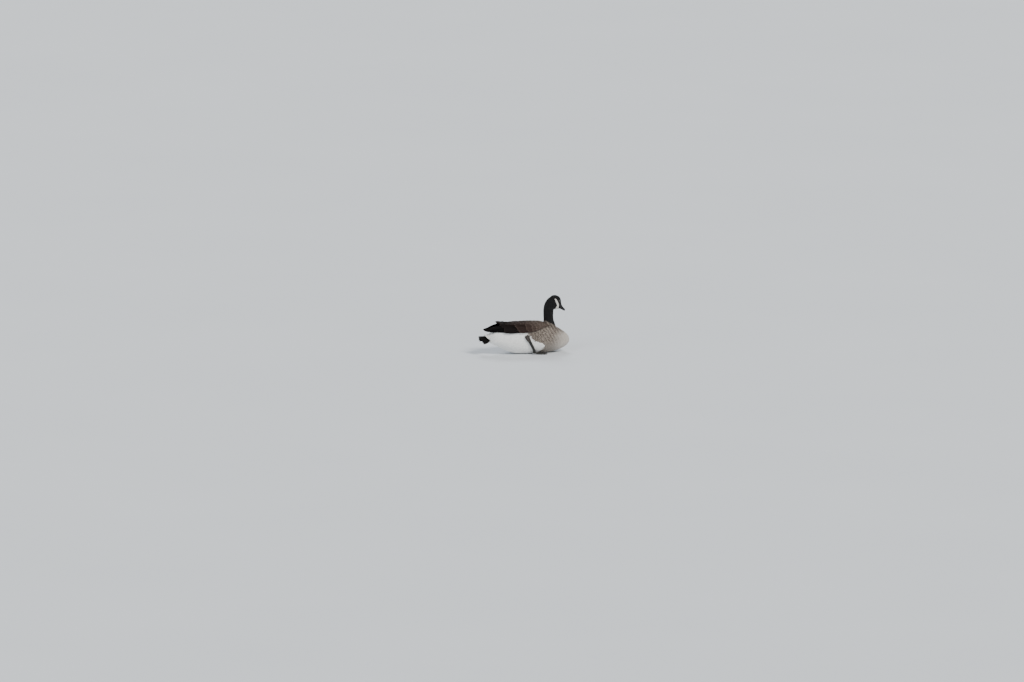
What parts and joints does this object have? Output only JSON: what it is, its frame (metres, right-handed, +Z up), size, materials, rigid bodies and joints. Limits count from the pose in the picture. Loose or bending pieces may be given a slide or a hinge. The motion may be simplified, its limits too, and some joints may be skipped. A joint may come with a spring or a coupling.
{
  "type": "canada goose model",
  "caption": "Life-size still model of a goose afloat: closed wings in tiers, fanned tail, upright neck, head turned a little and nodded, webbed feet tucked at its sides.",
  "frame": {"origin": "on the floor under the middle of the bird's box", "axes": "+X forward to the breast, +Y to the bird's left, +Z up"},
  "size_m": [0.61, 0.2314, 0.3723],
  "materials": {
    "torso": "soft grey-brown body feathers, white behind and below",
    "tail": "black tail feathers with white coverts",
    "neck": "short dense black feathers",
    "head": "short black feathers with white cheeks and chin",
    "bill_upper": "black horn with a soft sheen",
    "bill_lower": "black horn with a soft sheen",
    "eye_right": "wet dark brown",
    "eye_left": "wet dark brown",
    "wing_right": "brown wing feathers with pale edges",
    "wing_left": "brown wing feathers with pale edges",
    "leg_right": "blackish scaled skin",
    "leg_left": "blackish scaled skin",
    "foot_right": "blackish scaled and webbed skin",
    "foot_left": "blackish scaled and webbed skin"
  },
  "bodies": {
    "root": {"torso": "torso", "tail": "tail", "neck": "neck", "head": "head", "bill_upper": "bill_upper", "bill_lower": "bill_lower", "eye_right": "eye_right", "eye_left": "eye_left", "wing_right": "wing_right", "wing_left": "wing_left", "leg_right": "leg_right", "leg_left": "leg_left", "foot_right": "foot_right", "foot_left": "foot_left"}
  },
  "joints": []
}
